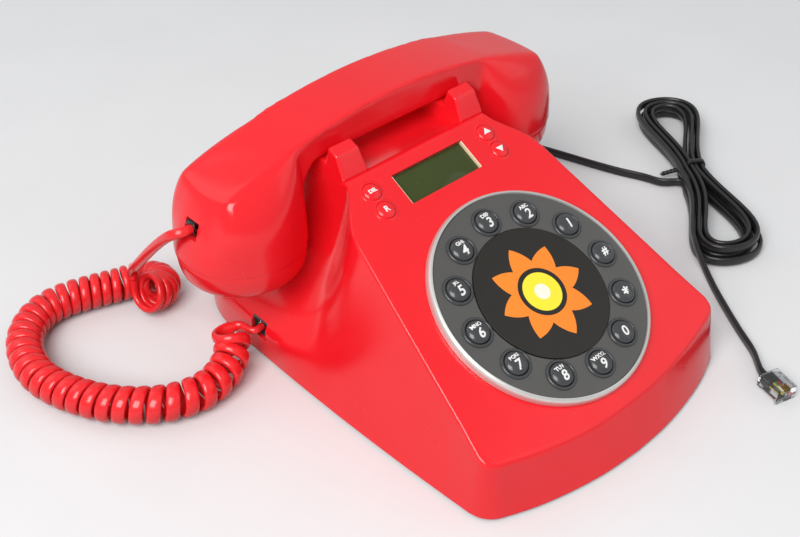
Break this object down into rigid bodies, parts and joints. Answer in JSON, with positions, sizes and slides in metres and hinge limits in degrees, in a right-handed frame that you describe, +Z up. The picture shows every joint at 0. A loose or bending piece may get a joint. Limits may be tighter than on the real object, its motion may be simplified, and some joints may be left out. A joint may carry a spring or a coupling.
{
  "type": "desk telephone",
  "caption": "Corded desk telephone with a sloping wedge body, round push-button dial, small display, cradle, handset, curly handset cord and tied line cord.",
  "frame": {"origin": "middle of the telephone without its cords, on the plane of the rubber feet", "axes": "+X to the right seen from the front, +Y from the front edge to the back, +Z up"},
  "size_m": [0.374, 0.2789, 0.1053],
  "materials": {
    "red_plastic": "glossy moulded plastic",
    "grey_plastic": "satin moulded plastic",
    "key_plastic": "glossy keys with pale printed legends",
    "disc_plastic": "satin printed disc",
    "silver_ring": "satin silver",
    "cream_plastic": "satin",
    "display": "unlit grey-green display under clear glass",
    "steel": "plain",
    "circuit_board": "green solder mask",
    "rubber": "matt",
    "clear_plastic": "clear moulded polycarbonate",
    "red_cord": "glossy soft plastic sheath",
    "black_cord": "satin soft plastic sheath"
  },
  "bodies": {
    "base": {"upper_housing": "red_plastic", "base_plate": "grey_plastic", "base_screw_1": "steel", "base_screw_2": "steel", "base_screw_3": "steel", "base_screw_4": "steel", "rubber_foot_1": "rubber", "rubber_foot_2": "rubber", "rubber_foot_3": "rubber", "rubber_foot_4": "rubber", "ballast_weight": "steel", "main_board": "circuit_board", "ringer_speaker": "steel", "handset_jack": "grey_plastic", "hook_switch": "grey_plastic", "hook_spring": "steel", "dial_bezel": "silver_ring", "dial_plate": "grey_plastic", "dial_center_disc": "disc_plastic", "keypad_mat": "rubber", "keypad_board": "circuit_board", "display_frame": "cream_plastic", "display_glass": "display", "display_board": "circuit_board", "handset_cord_plug_lower": "clear_plastic", "handset_cord_coil": "red_cord", "handset_cord_tail": "red_cord", "line_strain_relief": "rubber", "line_cord_lead": "black_cord", "line_cord_hank": "black_cord", "line_cord_tie": "black_cord", "line_cord_tail": "black_cord", "line_plug": "clear_plastic"},
    "handset": {"handset_shell": "red_plastic", "handset_socket": "grey_plastic", "handset_weight": "steel", "mouthpiece_cap": "red_plastic", "earpiece_cap": "red_plastic", "microphone_capsule": "steel", "receiver_capsule": "steel", "handset_cord_plug_upper": "clear_plastic", "handset_cord_lead": "red_cord"},
    "hook": {"hook_yoke": "grey_plastic"},
    "dial_key_3": {"dial_key_3": "key_plastic"},
    "dial_key_2": {"dial_key_2": "key_plastic"},
    "dial_key_1": {"dial_key_1": "key_plastic"},
    "dial_key_hash": {"dial_key_hash": "key_plastic"},
    "dial_key_star": {"dial_key_star": "key_plastic"},
    "dial_key_0": {"dial_key_0": "key_plastic"},
    "dial_key_9": {"dial_key_9": "key_plastic"},
    "dial_key_8": {"dial_key_8": "key_plastic"},
    "dial_key_7": {"dial_key_7": "key_plastic"},
    "dial_key_6": {"dial_key_6": "key_plastic"},
    "dial_key_5": {"dial_key_5": "key_plastic"},
    "dial_key_4": {"dial_key_4": "key_plastic"},
    "function_key_delete": {"function_key_delete": "red_plastic"},
    "function_key_up": {"function_key_up": "red_plastic"},
    "function_key_redial": {"function_key_redial": "red_plastic"},
    "function_key_down": {"function_key_down": "red_plastic"}
  },
  "joints": [
    {"name": "handset_lift", "type": "slide", "parent": "base", "child": "handset", "axis": [0, 0, 1], "range_m": [0, 0.1]},
    {"name": "hook_travel", "type": "slide", "parent": "base", "child": "hook", "axis": [0, 0, 1], "range_m": [0, 0.004], "deforming": ["hook_spring"]},
    {"name": "dial_key_3_press", "type": "slide", "parent": "base", "child": "dial_key_3", "axis": [0, 0.4787, -0.878], "range_m": [0, 0.0016], "stiffness_N_per_m": 300},
    {"name": "dial_key_2_press", "type": "slide", "parent": "base", "child": "dial_key_2", "axis": [0, 0.4787, -0.878], "range_m": [0, 0.0016], "stiffness_N_per_m": 300},
    {"name": "dial_key_1_press", "type": "slide", "parent": "base", "child": "dial_key_1", "axis": [0, 0.4787, -0.878], "range_m": [0, 0.0016], "stiffness_N_per_m": 300},
    {"name": "dial_key_hash_press", "type": "slide", "parent": "base", "child": "dial_key_hash", "axis": [0, 0.4787, -0.878], "range_m": [0, 0.0016], "stiffness_N_per_m": 300},
    {"name": "dial_key_star_press", "type": "slide", "parent": "base", "child": "dial_key_star", "axis": [0, 0.4787, -0.878], "range_m": [0, 0.0016], "stiffness_N_per_m": 300},
    {"name": "dial_key_0_press", "type": "slide", "parent": "base", "child": "dial_key_0", "axis": [0, 0.4787, -0.878], "range_m": [0, 0.0016], "stiffness_N_per_m": 300},
    {"name": "dial_key_9_press", "type": "slide", "parent": "base", "child": "dial_key_9", "axis": [0, 0.4787, -0.878], "range_m": [0, 0.0016], "stiffness_N_per_m": 300},
    {"name": "dial_key_8_press", "type": "slide", "parent": "base", "child": "dial_key_8", "axis": [0, 0.4787, -0.878], "range_m": [0, 0.0016], "stiffness_N_per_m": 300},
    {"name": "dial_key_7_press", "type": "slide", "parent": "base", "child": "dial_key_7", "axis": [0, 0.4787, -0.878], "range_m": [0, 0.0016], "stiffness_N_per_m": 300},
    {"name": "dial_key_6_press", "type": "slide", "parent": "base", "child": "dial_key_6", "axis": [0, 0.4787, -0.878], "range_m": [0, 0.0016], "stiffness_N_per_m": 300},
    {"name": "dial_key_5_press", "type": "slide", "parent": "base", "child": "dial_key_5", "axis": [0, 0.4787, -0.878], "range_m": [0, 0.0016], "stiffness_N_per_m": 300},
    {"name": "dial_key_4_press", "type": "slide", "parent": "base", "child": "dial_key_4", "axis": [0, 0.4787, -0.878], "range_m": [0, 0.0016], "stiffness_N_per_m": 300},
    {"name": "function_key_delete_press", "type": "slide", "parent": "base", "child": "function_key_delete", "axis": [0, 0.4787, -0.878], "range_m": [0, 0.0012], "stiffness_N_per_m": 300},
    {"name": "function_key_up_press", "type": "slide", "parent": "base", "child": "function_key_up", "axis": [0, 0.4787, -0.878], "range_m": [0, 0.0012], "stiffness_N_per_m": 300},
    {"name": "function_key_redial_press", "type": "slide", "parent": "base", "child": "function_key_redial", "axis": [0, 0.4787, -0.878], "range_m": [0, 0.0012], "stiffness_N_per_m": 300},
    {"name": "function_key_down_press", "type": "slide", "parent": "base", "child": "function_key_down", "axis": [0, 0.4787, -0.878], "range_m": [0, 0.0012], "stiffness_N_per_m": 300}
  ],
  "couplings": [
    {"joint": "hook_travel", "follows": "handset_lift", "ratio": 0.04}
  ]
}
